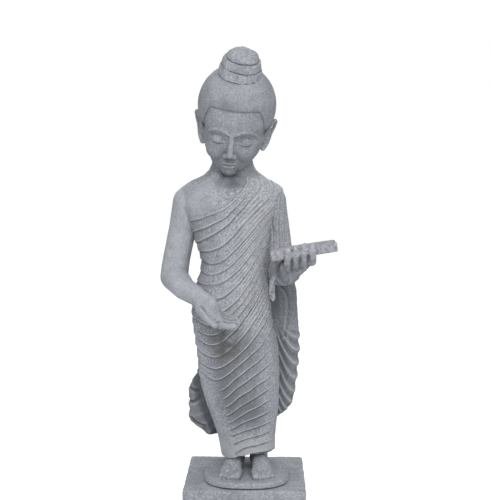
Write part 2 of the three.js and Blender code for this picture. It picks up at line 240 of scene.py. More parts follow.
def baked(mesh, name, kind, **settings):
    """The mesh after one modifier."""
    holder = piece_of(mesh, name)
    modifier = holder.modifiers.new(kind.title(), kind)
    for key, value in settings.items():
        setattr(modifier, key, value)
    graph = bpy.context.evaluated_depsgraph_get()
    made = bpy.data.meshes.new_from_object(holder.evaluated_get(graph))
    bpy.data.objects.remove(holder)
    bpy.data.meshes.remove(mesh)
    made.name = name
    return made


def fused(form, name, grid):
    """One skin over all the overlapping forms, on an even grid."""
    return baked(mesh_of(form, name), name, "REMESH", mode="VOXEL", voxel_size=grid, adaptivity=0)


def thinned(mesh, most):
    """The mesh with its flat stretches simplified, so that it has at most so many triangles."""
    count = sum(len(face.vertices) - 2 for face in mesh.polygons)
    if count <= most:
        return mesh
    return baked(mesh, mesh.name, "DECIMATE", ratio=most / count)


def points_of(mesh):
    flat = np.empty(len(mesh.vertices) * 3, np.float32)
    mesh.vertices.foreach_get("co", flat)
    return flat.reshape(-1, 3).astype(float)


def move_to(mesh, points):
    mesh.vertices.foreach_set("co", points.astype(np.float32).ravel())
    mesh.update()


def normals_of(mesh):
    flat = np.empty(len(mesh.vertices) * 3, np.float32)
    mesh.vertex_normals.foreach_get("vector", flat)
    return flat.reshape(-1, 3).astype(float)


def relax(mesh, rounds, keep):
    """Evens out the surface; keep is the share of the shrinkage that is given back each round."""
    for _ in range(rounds):
        move_to(mesh, evened(mesh, 1))
        move_to(mesh, points_of(mesh) - keep * (evened(mesh, 1) - points_of(mesh)))


def roughen(mesh, *layers, share=1):
    """Moves the surface in and out. A layer is its depth in mm, the size of its lumps and a seed."""
    points = points_of(mesh)
    rough = sum(depth * MM * ripple(points, size, seed) for depth, size, seed in layers)
    move_to(mesh, points + normals_of(mesh) * (rough * share)[:, None])


def evened(mesh, rounds):
    """The points after each is drawn towards its neighbours' middle a number of times."""
    ends = np.empty(len(mesh.edges) * 2, np.int32)
    mesh.edges.foreach_get("vertices", ends)
    a, b = ends.reshape(-1, 2).T
    points = points_of(mesh)
    size = len(points)
    near = np.bincount(ends, minlength=size).clip(1)[:, None]
    for _ in range(rounds):
        total = np.stack([
            np.bincount(a, points[b, i], size) + np.bincount(b, points[a, i], size)
            for i in range(3)], 1)
        points = (points + total / near) / 2
    return points


def mark_hollows(mesh):
    """Marks how far each point lies in a hollow (above 0) or on a ridge (below 0)."""
    points, normals = points_of(mesh), normals_of(mesh)
    small = ((evened(mesh, 8) - points) * normals).sum(1) / (0.8 * MM)
    large = ((evened(mesh, 45) - points) * normals).sum(1) / (3.0 * MM)
    # the stone's material reads this for dust and painted shade in hollows and a painted highlight on
    # ridges
    mark(mesh, "hollow", np.clip(0.6 * small + 0.6 * large, -1, 1))


def mark(mesh, name, values):
    """Stores one number for each vertex, for the stone's material to read."""
    layer = mesh.attributes.new(name, "FLOAT", "POINT")
    layer.data.foreach_set("value", values.astype(np.float32))


def ball(form, centre, radii, turn=None, detail=4):
    """A ball stretched to three radii."""
    place = Matrix.Translation(Vector(centre)) @ (turn or Matrix.Identity(4))
    bmesh.ops.create_icosphere(
        form, subdivisions=detail, radius=1.0, matrix=place @ Matrix.Diagonal((*radii, 1.0)))


def limb(form, balls, detail=3):
    """Balls strung closely from each given ball (x, y, z, radius) to the next."""
    for start, end in zip(balls[:-1], balls[1:]):
        start, end = np.array(start, float), np.array(end, float)
        reach = np.linalg.norm(end[:3] - start[:3])
        steps = max(1, int(reach / (BEAD_SPACING * min(start[3], end[3]))))
        for i in range(steps + 1):
            bead = start + (end - start) * (i / steps)
            ball(form, bead[:3], (bead[3],) * 3, detail=detail)


def lathe(form, outline, steps):
    """Spins an outline, given as radii and heights, about the upright axis."""
    verts = [form.verts.new((radius, 0, height)) for radius, height in outline]
    edges = [form.edges.new(pair) for pair in zip(verts[:-1], verts[1:])]
    bmesh.ops.spin(
        form, geom=verts + edges, cent=(0, 0, 0), axis=(0, 0, 1), angle=2 * math.pi, steps=steps,
        use_merge=True, use_duplicate=False)
    bmesh.ops.remove_doubles(form, verts=form.verts, dist=WELD)
    bmesh.ops.recalc_face_normals(form, faces=form.faces)


def finish_piece(mesh, name, nodes, material):
    """Puts a finished mesh in place of the plain blocks it stands for."""
    mesh.shade_smooth()
    mesh.set_sharp_from_angle(angle=SHARP)
    mesh.materials.clear()
    mesh.materials.append(finishes()[material])
    piece = piece_of(mesh, name)
    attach(piece, BODY)
    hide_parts(*nodes)


# ---------------------------------------------------------------- number helpers
def smooth_step(values, low, high):
    t = np.clip((values - low) / (high - low), 0, 1)
    return t * t * (3 - 2 * t)


def ripple(points, size, seed):
    """Smooth irregularity between about -1 and 1, whose lumps are about size across."""
    rng = np.random.default_rng(seed)
    total = np.zeros(len(points))
    for _ in range(7):
        way = rng.normal(size=3)
        way *= 2 * math.pi / size / np.linalg.norm(way) * rng.uniform(0.35, 1.0)
        total += np.sin(points @ way + rng.uniform(0, 2 * math.pi))
    return total / 3.2


def ridge(values, width):
    """1 where the values are 0, falling away on both sides of that."""
    return np.exp(-((values / width) ** 2))


def bump(points, centre, radii):
    """1 at the centre of an oval region, falling smoothly to 0 at its edge."""
    away = np.linalg.norm((points - np.array(centre)) / np.array(radii), axis=1)
    return (1 - np.clip(away, 0, 1) ** 2) ** 2


def section(form, heights):
    return [np.interp(heights, form[:, 0], form[:, i]) for i in range(1, 5)]


def oval_gap(form, points):
    """How far each point is outside a sectioned form, roughly."""
    x, y, wide, deep = section(form, points[:, 2])
    away = np.hypot((points[:, 0] - x) / wide, (points[:, 1] - y) / deep)
    over = np.maximum(form[0, 0] - points[:, 2], points[:, 2] - form[-1, 0]).clip(0)
    return (away - 1) * np.minimum(wide, deep) + over


def limb_gap(balls, points):
    """How far each point is outside a limb."""
    best = np.full(len(points), 9.0)
    for start, end in zip(balls[:-1], balls[1:]):
        way = end[:3] - start[:3]
        along = np.clip((points - start[:3]) @ way / (way @ way), 0, 1)
        radius = start[3] + (end[3] - start[3]) * along
        middle = start[:3] + along[:, None] * way
        best = np.minimum(best, np.linalg.norm(points - middle, axis=1) - radius)
    return best


def through(values, share):
    """A smooth curve through evenly spaced values, read at a share from 0 to 1."""
    values = np.concatenate(([2 * values[0] - values[1]], values, [2 * values[-1] - values[-2]]))
    last = len(values) - 4
    place = np.clip(share, 0, 1) * (last + 1)
    i = np.minimum(place.astype(int), last)
    t = place - i
    p0, p1, p2, p3 = (values[i + k] for k in range(4))
    return 0.5 * (2 * p1 + (p2 - p0) * t + (2 * p0 - 5 * p1 + 4 * p2 - p3) * t ** 2
                  + (3 * p1 - p0 - 3 * p2 + p3) * t ** 3)


# ---------------------------------------------------------------- the robe
def fold_heights(values, across, behind):
    """A guide's height: across runs 0 to 1 over the front; behind runs 0 to 1 over the back."""
    values = np.array(values, float) * MM
    front = through(values, across)
    drop = values[-1] - values[0]
    sag = BACK_SAG * smooth_step(-values[0], -0.70, -0.45)
    back = values[-1] - drop * behind - sag * np.sin(math.pi * behind)
    return front, back


def robe_folds(points):
    """Which fold each point is on, counted down from the robe's upper edge, and its place across."""
    x, y, wide, deep = section(ROBE_FORM, points[:, 2])
    side = np.arctan2((points[:, 0] - x) / wide, -(points[:, 1] - y) / deep)
    in_front = np.abs(side) <= math.pi / 2
    across = (1 + np.sin(side)) / 2
    behind = 1 - across
    levels = []
    for _, values in FOLD_GUIDES:
        front, back = fold_heights(values, across, behind)
        levels.append(np.where(in_front, front, back))
    height = points[:, 2] + 2.2 * MM * ripple(points, 0.11, 3) + 0.8 * MM * ripple(points, 0.03, 4)
    top, under = levels[0], levels[1]
    folds = FOLD_GUIDES[1][0] * (top - height) / (top - under)
    for g in range(1, len(FOLD_GUIDES) - 1):
        top, under = levels[g], levels[g + 1]
        count, following = FOLD_GUIDES[g][0], FOLD_GUIDES[g + 1][0]
        share = (top - height) / (top - under)
        folds = np.where(height < top, count + (following - count) * share, folds)
    return folds, np.where(in_front, across, 1.0 + behind)


def panel_folds(points):
    """The front-facing flanks of the back panel: folds that run down and outwards."""
    x, z = points[:, 0], points[:, 2]
    left = x > 0
    edge = np.where(left, 0.152, -0.160)
    inwards = np.clip(np.abs(x - edge) / 0.058, 0, 1.4)
    steep = 1 + 1.3 * smooth_step(z, 0.44, 0.60)
    drop = np.where(left, 0.085 * steep, 0.034) * (1 - inwards ** 2)
    height = z + drop + np.where(left, 3, 7) * MM * ripple(points, 0.09, 8)
    return (1.2 - height) / PANEL_PITCH


def sleeve_folds(points):
    """Long folds that run down the left sleeve and wind slowly round it."""
    x, y, z = points.T
    middle = np.interp(z, [0.65, 0.85], [0.1, 0.068])
    turn = np.arctan2(y - 0.006, x - middle)
    return 9 + turn * 2.4 - z * 9 + 0.10 * ripple(points, 0.1, 12)


def fold_profile(folds, step=0.13):
    """0 on each fold's outer lip, then a sharp step in to -1, then slowly out again to the next."""
    t = folds - np.floor(folds)
    down = t / step
    out = ((1 - t) / (1 - step)).clip(0, 1) ** 1.25
    return -np.where(t < step, smooth_step(down, 0, 1), out)


def robe_zones(points, normals):
    """Sorts the figure's points into robe, back panel, sleeve, hands and skin, and finds its patches."""
    gaps = np.stack([
        oval_gap(ROBE_FORM, points), oval_gap(BACK_FORM, points),
        limb_gap(RIGHT_ARM, points), limb_gap(LEFT_SLEEVE, points)])
    nearest = gaps.argmin(0)
    x, y, z = points.T
    folds, across = robe_folds(points)
    below_top = folds > ROBE_TOP
    hand = (y < HANDS_Y) | ((x > LEFT_HAND_X) & (y < -0.102) & (z > SLEEVE_Z))
    panel = (nearest == 1) & ~hand
    back_side = (normals[:, 1] > 0.05) & (y > 0.03)
    robe = ((nearest == 0) & ~hand & below_top) | (panel & back_side & below_top)
    panel &= ~back_side
    sleeve = (nearest == 3) & ~hand & (z > SLEEVE_Z)
    beside = smooth_step(gaps[0], 0.032, 0.012) * np.where(x < 0, 1.0, 0.3)
    return SimpleNamespace(
        folds=folds, across=across, front=across <= 1, from_torso=gaps[0],
        torso=nearest == 0, back=nearest == 1, arm=nearest == 2, hand=hand,
        left_hand=hand & (x > LEFT_HAND_X), robe=robe, panel=panel, sleeve=sleeve,
        cloth=robe | panel | sleeve,
        quiet=np.where(x > 0, 1 - 0.9 * smooth_step(z, 0.43, 0.50), 0.35),
        beside=panel * beside,
        tucks=sum(groove(points, tuck, 0.0040) for tuck in PANEL_TUCKS) * panel,
        crumbled=bump(points, *PANEL_CRUMBLE) * panel,
        worn=bump(points, *WORN_CHEST),
        rugged=bump(points, *BELLY) * robe,
        rough=bump(points, *UNDER_HAND) * (nearest == 0),
        collar=bump(points, *BARE_CHEST) * ~robe)


def fold_strength(points, zone):
    """How strongly the robe's folds are cut at each point."""
    z, across, front = points[:, 2], zone.across, zone.front
    # the bare right leg pushes the cloth smooth low down, and the folds fade at the left side seam
    low = smooth_step(z, 0.36, 0.325)
    calm = 1 - low * (1 - smooth_step(across, 0.255, 0.30)) * front
    calm *= smooth_step(LAST_FOLD - zone.folds, 0, 0.2)
    seam = smooth_step(z, 0.56, 0.44)
    calm *= 1 - 0.85 * seam * smooth_step(across, 0.80, 0.92) * front
    calm *= 0.82 + 0.30 * ripple(points, 0.16, 5)
    calm *= 1 - 0.35 * smooth_step(across, 0.42, 0.60) * smooth_step(z, 0.50, 0.60) * front
    calm *= 0.62 + 0.38 * smooth_step(zone.folds, 0.3, 1.2)
    return calm * (1 - 0.6 * zone.worn)


def all_folds(points, zone):
    """Each point's place in its fold, how strongly that fold shows, and how strongly thin folds do."""
    robe, panel, sleeve = zone.robe, zone.panel, zone.sleeve
    show = np.zeros(len(points))
    phase = np.full(len(points), 0.5)
    show[robe], phase[robe] = fold_strength(points, zone)[robe], zone.folds[robe]
    show[panel], phase[panel] = 0.3 * zone.quiet[panel], panel_folds(points)[panel]
    show[sleeve], phase[sleeve] = 0.5, sleeve_folds(points)[sleeve]
    fine = smooth_step(zone.across, 0.40, 0.62) * smooth_step(points[:, 2], 0.44, 0.56)
    fine = fine * (robe & zone.front) * np.clip(0.75 + 0.5 * ripple(points, 0.07, 6), 0, 1.2)
    return phase, np.clip(show, 0, 1.3), fine * (1 + 1.2 * zone.rugged)


def carve_robe(mesh, sizes):
    """Cuts the folds, the robe's edge and the hem, and marks the surface for the stone's material."""
    points, normals = points_of(mesh), normals_of(mesh)
    x, y, z = points.T
    zone = robe_zones(points, normals)
    robe, panel, across, front = zone.robe, zone.panel, zone.across, zone.front
    phase, show, fine = all_folds(points, zone)
    valley = panel * zone.quiet * (0.5 - 0.5 * np.cos(2 * math.pi * phase))
    gaps, joints = finger_lines(points)

    cut = sizes.fold_depth * show * fold_profile(phase) * np.where(panel, 0, 1)
    # the back panel: valleys, a hollow beside the torso, tucks, a crumbled patch and a looped edge
    cut -= 1.6 * sizes.fold_depth * valley
    cut -= 8 * MM * zone.beside
    cut -= 6 * MM * zone.tucks
    cut += zone.crumbled * 2 * MM * ripple(points, 0.010, 23)
    facing = zone.back & (normals[:, 1] < 0.2)
    cut += 3.5 * MM * groove(points, PANEL_LOOP, 0.0045) * facing
    cut -= 3.5 * MM * groove(points, LOOP_SHADE, 0.0045) * facing
    # thin folds between the broad ones, and the robe's raised upper edge
    cut += 0.50 * sizes.fold_depth * fine * fold_profile(FINE_FOLDS * phase, 0.25)
    edge = smooth_step(zone.folds, ROBE_TOP, -0.22)
    cut += sizes.robe_edge * robe * edge * smooth_step(zone.folds, 6, 1.5)
    # the waist is drawn in beside the right arm, and the panel's outer edges are scalloped
    cut -= 7 * MM * bump(points, *WAIST) * zone.torso
    flank = smooth_step(np.abs(normals[:, 1]), 0.45, 0.1) * (zone.back & (z < 0.62))
    cut += np.where(x > 0, 1.2, 0.8) * MM * flank * np.sin(2 * math.pi * z / PANEL_PITCH)
    cut -= 4 * MM * flank * (x > 0) * smooth_step(z, 0.44, 0.52) * smooth_step(z, 0.62, 0.58)
    # under the outer hem a second layer shows, set further in
    hem = 0.116 + 0.027 * smooth_step(across, 0.10, 0.68)
    cut -= 6 * MM * (smooth_step(hem - z, 0.0, 0.003) * (robe & front))
    # a rough, undercut patch is left below the open hand, and pits on the chest and belly
    cut += zone.rough * (3.2 * MM * ripple(points, 0.014, 21) - 1.5 * MM)
    cut += (zone.collar + zone.worn * robe + zone.rugged) * 0.9 * MM * ripple(points, 0.008, 24)
    cut -= 4.6 * MM * gaps + 0.8 * MM * joints
    cut += (0.25 + 0.4 * robe) * MM * ripple(points, 0.02, 31)
    cut += 1.0 * MM * (zone.left_hand & (normals[:, 1] < -0.2)) * ripple(points, 0.014, 32)
    moved = points + normals * cut[:, None]
    # the outer hem hangs lower towards the right foot
    rim = smooth_step(zone.from_torso, -12 * MM, -4 * MM) * smooth_step(z, 0.180, 0.136)
    moved[:, 2] -= 13 * MM * rim * (1 - smooth_step(across, 0.08, 0.46)) * front
    # the back panel spreads low down on the right
    spread = zone.back * smooth_step(-x, 0.095, 0.150) * smooth_step(z, 0.36, 0.30)
    moved[:, 0] -= 11 * MM * (spread * smooth_step(z, 0.18, 0.21))
    # the tip of the left thumb is kept low behind the tablet
    tip = (x > 0.13) & (y > -0.150) & (z > 0.70)
    moved[tip, 2] -= 0.21 * (z[tip] - 0.70)
    move_to(mesh, moved)

    # the stain is partly a brown stain and partly a painted shadow below the open hand, and painted shade
    # in the gaps between the fingers
    blotched = zone.rough * np.clip(0.75 + 0.75 * ripple(points, 0.022, 25), 0, 1.4)
    for name, values in (
            ("fold_phase", phase), ("fold_show", show * zone.cloth), ("fold_fine", fine),
            ("stain", np.clip(1.2 * blotched + 0.45 * gaps, 0, 1)),
            ("soot", robe_painted_light_and_tone(points, zone, valley)), ("grit", robe_grit(points, zone))):
        mark(mesh, name, values)


def robe_painted_light_and_tone(points, zone, valley):
    """Painted shade and darker tone where it is above 0, and painted light, paler stone, where it is below
    0.
    """
    x, y, z = points.T
    across, front_robe = zone.across, zone.front & zone.robe
    # darker tone over the middle of the skirt; painted shade on the recessed back panel, a painted shadow
    # under the chin and painted shade on the left hand below the tablet
    soot = 1.25 * smooth_step(z, 0.53, 0.45) * smooth_step(z, 0.17, 0.26) * front_robe
    soot *= smooth_step(across, 0.08, 0.36) * (1 - 0.85 * smooth_step(across, 0.66, 0.88))
    soot += zone.panel * np.where(x < 0, 1.1, 0.6 + 0.5 * smooth_step(z, 0.42, 0.55))
    # painted shade beside the torso, in the panel's valleys and in its tucks
    soot += 1.4 * zone.beside + 0.6 * valley + zone.tucks
    # painted shadow beside the right arm, partly dirt
    soot += 0.35 * front_robe * smooth_step(across, 0.45, 0.25) * smooth_step(z, 0.60, 0.68)
    # the painted shadow under the chin, and painted shade on the left hand below the tablet
    soot += chin_shade(points) + 0.9 * zone.left_hand * smooth_step(z, 0.745, 0.700)
    soot *= np.clip(0.95 + 0.20 * ripple(points, 0.08, 33), 0, 1.3)
    # painted light: paler on the right arm, the hem and the robe's left side
    right_arm = zone.arm | (zone.hand & (x < LEFT_HAND_X))
    soot -= 0.40 * right_arm * smooth_step(z, 0.56, 0.60)
    soot -= 0.75 * front_robe * smooth_step(z, 0.20, 0.15)
    soot -= 0.45 * front_robe * smooth_step(across, 0.55, 0.75) * smooth_step(z, 0.52, 0.58)
    return soot


def robe_grit(points, zone):
    """How strongly the grain shows: more on cloth than on skin, and most on the crumbled patches."""
    y, z = points[:, 1], points[:, 2]
    grit = np.where(zone.cloth, 1.05, np.where(zone.arm | zone.hand, 0.55, 0.46))
    clasp = zone.left_hand & (y < -0.19)
    grit[clasp] = 0.6 + 0.5 * smooth_step(z, 0.69, 0.71)[clasp]
    grit += 0.9 * zone.collar
    grit += 0.3 * zone.worn * zone.robe
    grit += 0.7 * zone.crumbled
    grit += 0.5 * zone.rugged
    grit -= 0.5 * zone.robe * zone.front * smooth_step(z, 0.20, 0.15)
    return grit


def chin_shade(points):
    """A painted shadow under the chin, on the throat of the head and of the body alike."""
    patchy = np.clip(0.85 + 0.3 * ripple(points, 0.022, 26), 0, 2)
    return 2.0 * patchy * bump(points, *UNDER_CHIN)


def finger_lines(points):
    """Masks for the gaps between the fingers of both hands, and for the creases at their joints."""
    x, y, z = points.T
    left = (x > 0.09) & (y < -0.195) & (z > 0.660)
    gaps = np.zeros(len(points))
    joints = np.zeros(len(points))
    for i in range(4):
        edge = 0.1055 + 0.021 * i
        if i:
            fade = smooth_step(z, 0.662 + 0.005 * i, 0.688 + 0.005 * i)
            fade *= 1 - 0.85 * smooth_step(z, 0.704 + 0.004 * i, 0.718 + 0.004 * i)
            gaps += left * fade * ridge(x - edge, 0.0030)
        middle = np.abs(x - edge - 0.0105) < 0.009
        for height in (0.704, 0.724):
            joints += left * middle * ridge(z - height - 0.004 * i, 0.0012)
    # the right hand's fingers lie side by side from front to back
    right = (x > -0.075) & (x < 0.0) & (y < -0.13) & (z > 0.50) & (z < 0.58)
    slant = y + 0.55 * (x + 0.06)
    fade = smooth_step(x, -0.066, -0.050)
    for i in range(3):
        gaps += 0.25 * right * fade * ridge(slant + 0.180 - 0.0140 * i, 0.0020)
    # the fold of skin between the right thumb and the palm
    gaps += 0.55 * groove(points, THUMB_CREASE, 0.0022) * (y < -0.14) * (z > 0.51)
    return gaps, joints


def groove(points, line, width):
    """1 along a line drawn on the front (left-right and height), falling away to each side."""
    nearest = np.full(len(points), 9.0)
    place = points[:, [0, 2]]
    for start, end in zip(line[:-1], line[1:]):
        start, way = np.array(start), np.subtract(end, start)
        along = np.clip((place - start) @ way / (way @ way), 0, 1)
        nearest = np.minimum(nearest, np.linalg.norm(place - start - along[:, None] * way, axis=1))
    return ridge(nearest, width)


def saw(form, point, way, low, high):
    """Cuts through the stone inside a box, on a plane, and parts it there."""
    low, high = Vector(low), Vector(high)
    faces = [f for f in form.faces
             if all(low[i] < f.verts[0].co[i] < high[i] for i in range(3))]
    geometry = list({*faces, *(e for f in faces for e in f.edges), *(v for f in faces for v in f.verts)})
    made = bmesh.ops.bisect_plane(form, geom=geometry, plane_co=point, plane_no=way, dist=1e-6)
    line = [g for g in made["geom_cut"] if isinstance(g, bmesh.types.BMEdge)]
    bmesh.ops.split_edges(form, edges=line)


def close_cuts(form):
    """Fills each open loop that a saw cut left."""
    edges = [e for e in form.edges if e.is_boundary]
    made = bmesh.ops.holes_fill(form, edges=edges, sides=0)
    bmesh.ops.triangulate(form, faces=made["faces"])


def islands(form):
    """The separate shells of a bmesh, as lists of its vertices."""
    seen = set()
    shells = []
    for start in form.verts:
        if start in seen:
            continue
        seen.add(start)
        shell, open_ends = [], [start]
        while open_ends:
            vert = open_ends.pop()
            shell.append(vert)
            for edge in vert.link_edges:
                other = edge.other_vert(vert)
                if other not in seen:
                    seen.add(other)
                    open_ends.append(other)
        shells.append(shell)
    return shells


def shell_near(form, shells, point):
    """The shell with a vertex closest to a point, as its own bmesh."""
    point = Vector(point)
    chosen = min((s for s in shells if len(s) > 200),
                 key=lambda shell: min((v.co - point).length_squared for v in shell[::7]))
    own = form.copy()
    form.verts.index_update()
    kept = {v.index for v in chosen}
    bmesh.ops.delete(own, geom=[v for v in own.verts if v.index not in kept], context="VERTS")
    return own


# ---------------------------------------------------------------- materials
def node_group(name, inputs, outputs):
    group = bpy.data.node_groups.new(name, "ShaderNodeTree")
    for label, kind, default in inputs:
        socket = group.interface.new_socket(label, in_out="INPUT", socket_type=kind)
        if default is not None:
            socket.default_value = default
    for label, kind in outputs:
        group.interface.new_socket(label, in_out="OUTPUT", socket_type=kind)
    return group, group.nodes.new("NodeGroupInput"), group.nodes.new("NodeGroupOutput")


def noise(tree, vector, scale, detail, roughness):
    node = tree.nodes.new("ShaderNodeTexNoise")
    node.inputs["Scale"].default_value = scale
    node.inputs["Detail"].default_value = detail
    node.inputs["Roughness"].default_value = roughness
    tree.links.new(vector, node.inputs["Vector"])
    return node.outputs["Fac"]


def remap(tree, value, low, high, to_low=0.0, to_high=1.0, smooth=True):
    node = tree.nodes.new("ShaderNodeMapRange")
    node.interpolation_type = "SMOOTHSTEP" if smooth else "LINEAR"
    for label, number in (("From Min", low), ("From Max", high), ("To Min", to_low), ("To Max", to_high)):
        node.inputs[label].default_value = number
    tree.links.new(value, node.inputs["Value"])
    return node.outputs["Result"]


def maths(tree, operation, a, b=None):
    node = tree.nodes.new("ShaderNodeMath")
    node.operation = operation
    for socket, value in zip(node.inputs, (a, b)):
        if value is None:
            continue
        if isinstance(value, (int, float)):
            socket.default_value = value
        else:
            tree.links.new(value, socket)
    return node.outputs[0]


def times(tree, a, b):
    return maths(tree, "MULTIPLY", a, b)


def new_material(name):
    """A material, its node tree and its shader."""
    material = bpy.data.materials.new(name)
    material.use_nodes = True
    return material, material.node_tree, material.node_tree.nodes["Principled BSDF"]


def mix(tree, share, a, b):
    node = tree.nodes.new("ShaderNodeMix")
    node.data_type = "RGBA"
    for socket, value in ((node.inputs["Factor"], share), (node.inputs[6], a), (node.inputs[7], b)):
        if isinstance(value, (int, float)):
            socket.default_value = value
        elif isinstance(value, (tuple, list)):
            socket.default_value = (*value[:3], 1.0)
        else:
            tree.links.new(value, socket)
    return node.outputs[2]


def grain_group():
    """Salt-and-pepper volcanic grain: masks for pale and dark crystals, broad weathering and height."""
    group, start, end = node_group(
        "Volcanic grain",
        [("Vector", "NodeSocketVector", None), ("Size", "NodeSocketFloat", 1.0)],
        [("Pale", "NodeSocketFloat"), ("Dark", "NodeSocketFloat"), ("Weather", "NodeSocketFloat"),
         ("Height", "NodeSocketFloat")])
    scaled = group.nodes.new("ShaderNodeVectorMath")
    scaled.operation = "SCALE"
    group.links.new(start.outputs["Vector"], scaled.inputs[0])
    group.links.new(start.outputs["Size"], scaled.inputs["Scale"])
    vector = scaled.outputs[0]
    coarse = noise(group, vector, 190, 3, 0.65)
    fine = noise(group, vector, 520, 2, 0.6)
    broad = noise(group, vector, 9, 4, 0.6)
    patch = noise(group, vector, 38, 3, 0.6)
    cells = group.nodes.new("ShaderNodeTexVoronoi")
    cells.inputs["Scale"].default_value = 230
    group.links.new(vector, cells.inputs["Vector"])
    pits = remap(group, cells.outputs["Distance"], 0.08, 0.30, 1.0, 0.0)
    speck = maths(group, "ADD", times(group, coarse, 0.6), times(group, fine, 0.4))
    pale = remap(group, speck, 0.50, 0.66)
    dark = maths(group, "MAXIMUM", remap(group, speck, 0.48, 0.34), times(group, pits, 0.55))
    weather = maths(group, "ADD", times(group, broad, 0.6), times(group, patch, 0.4))
    height = maths(group, "SUBTRACT", speck, times(group, pits, 0.35))
    for label, value in (("Pale", pale), ("Dark", dark), ("Weather", weather), ("Height", height)):
        group.links.new(value, end.inputs[label])
    return group


def fold_group():
    """Masks for each fold's lip, partly worn and partly a painted highlight, and for the hollow under it,
    partly dust and partly painted shade.
    """
    group, start, end = node_group(
        "Fold wear",
        [(label, "NodeSocketFloat", 0.0) for label in ("Phase", "Show", "Fine")],
        [("Lip", "NodeSocketFloat"), ("Hollow", "NodeSocketFloat")])
    lips, hollows = [], []
    for count, strength, width in ((1, "Show", 1.0), (FINE_FOLDS, "Fine", 2.0)):
        place = maths(group, "FRACT", times(group, start.outputs["Phase"], count))
        rising = remap(group, place, 1 - 0.08 * width, 1 - 0.02 * width)
        falling = remap(group, place, 0.00, 0.03 * width, 1.0, 0.0)
        lip = maths(group, "MAXIMUM", rising, falling)
        hollow = times(group, remap(group, place, 0.03 * width, 0.10 * width),
                       remap(group, place, 0.22 + 0.12 * width, 0.08 * width + 0.06))
        lips.append(times(group, lip, start.outputs[strength]))
        # how dark the painted shade under each lip is
        worn = times(group, start.outputs[strength], 1.4 - 0.5 * width)
        hollows.append(times(group, hollow, worn))
    group.links.new(maths(group, "MAXIMUM", *lips), end.inputs["Lip"])
    group.links.new(maths(group, "MAXIMUM", *hollows), end.inputs["Hollow"])
    return group


def attribute(tree, name):
    node = tree.nodes.new("ShaderNodeAttribute")
    node.attribute_name = name
    return node.outputs["Fac"]


def stone_material(name, colours, grain, folds, tint=(1.0, 1.0, 1.0), grit=0.8, carved=True):
    """Matt grey stone; carved stone also shows fold lips that are partly worn and partly a painted
    highlight, hollows with dust and painted shade, darker tone with painted shade and painted light, and
    the stain with painted shade.
    """
    _, tree, shader = new_material(name)
    coordinates = tree.nodes.new("ShaderNodeTexCoord")
    stone = tree.nodes.new("ShaderNodeGroup")
    stone.node_tree = grain
    tree.links.new(coordinates.outputs["Object"], stone.inputs["Vector"])
    base = [c * t for c, t in zip(colours.stone, tint)]
    pale = [c * t for c, t in zip(colours.light_grain_and_highlight, tint)]
    dark = colours.dark_grain_and_shade[:]
    weather = remap(tree, stone.outputs["Weather"], 0.36, 0.64, 0.0, 1.0)
    if carved:
        grit = attribute(tree, "grit")
    colour = mix(tree, weather, [c * 0.84 for c in base], [c * 1.14 for c in base])
    for speck, share, to in (("Dark", 0.80, dark), ("Pale", 0.75, pale)):
        strength = times(tree, times(tree, stone.outputs[speck], share), grit)
        colour = mix(tree, strength, colour, to)
    if carved:
        fold_wear_and_painted_light = tree.nodes.new("ShaderNodeGroup")
        fold_wear_and_painted_light.node_tree = folds
        for source, socket in (("fold_phase", "Phase"), ("fold_show", "Show"), ("fold_fine", "Fine")):
            tree.links.new(attribute(tree, source), fold_wear_and_painted_light.inputs[socket])
        broken = maths(tree, "ADD", times(tree, stone.outputs["Weather"], 0.5),
                       times(tree, stone.outputs["Height"], 0.5))
        uneven = remap(tree, broken, 0.34, 0.54, 0.15, 1.0)
        hollow = attribute(tree, "hollow")
        soot = attribute(tree, "soot")  # above 0 it darkens: painted shade and darker tone; below 0 it lightens: painted light
        for mask, share, to in (
                (maths(tree, "MAXIMUM", soot, 0.0), 0.56, dark),
                (remap(tree, soot, 0.0, -1.0, smooth=False), 0.36, pale),
                # dust and painted shade in hollows, and a painted highlight on ridges
                (remap(tree, hollow, 0.05, 0.9), 0.50, dark),
                (remap(tree, hollow, -0.15, -0.9), 0.14, pale),
                # painted shade with dust under each fold's lip, and the lip's wear and painted highlight
                (fold_wear_and_painted_light.outputs["Hollow"], 0.42, dark),
                (times(tree, fold_wear_and_painted_light.outputs["Lip"], uneven), 0.80, pale),
                # the stain, partly brown stain and partly painted shade below the open hand and between the
                # fingers
                (attribute(tree, "stain"), 0.70, colours.stain[:])):
            colour = mix(tree, times(tree, mask, share), colour, to)
    tree.links.new(colour, shader.inputs["Base Color"])
    tree.links.new(remap(tree, stone.outputs["Height"], 0.2, 0.7, 0.98, 0.80), shader.inputs["Roughness"])
    shader.inputs["Specular IOR Level"].default_value = 0.25
    relief = tree.nodes.new("ShaderNodeBump")
    relief.inputs["Distance"].default_value = 1.6 * MM
    tree.links.new(stone.outputs["Height"], relief.inputs["Height"])
    if carved:
        tree.links.new(times(tree, grit, 0.9), relief.inputs["Strength"])
    else:
        relief.inputs["Strength"].default_value = 0.9 * grit
    tree.links.new(relief.outputs["Normal"], shader.inputs["Normal"])


def steel_material():
    _, tree, shader = new_material("Drawn steel")
    coordinates = tree.nodes.new("ShaderNodeTexCoord")
    streak = noise(tree, coordinates.outputs["Object"], 260, 4, 0.6)
    tree.links.new(mix(tree, streak, (0.42, 0.43, 0.45), (0.62, 0.63, 0.65)), shader.inputs["Base Color"])
    tree.links.new(remap(tree, streak, 0.3, 0.7, 0.32, 0.5), shader.inputs["Roughness"])
    shader.inputs["Metallic"].default_value = 1.0


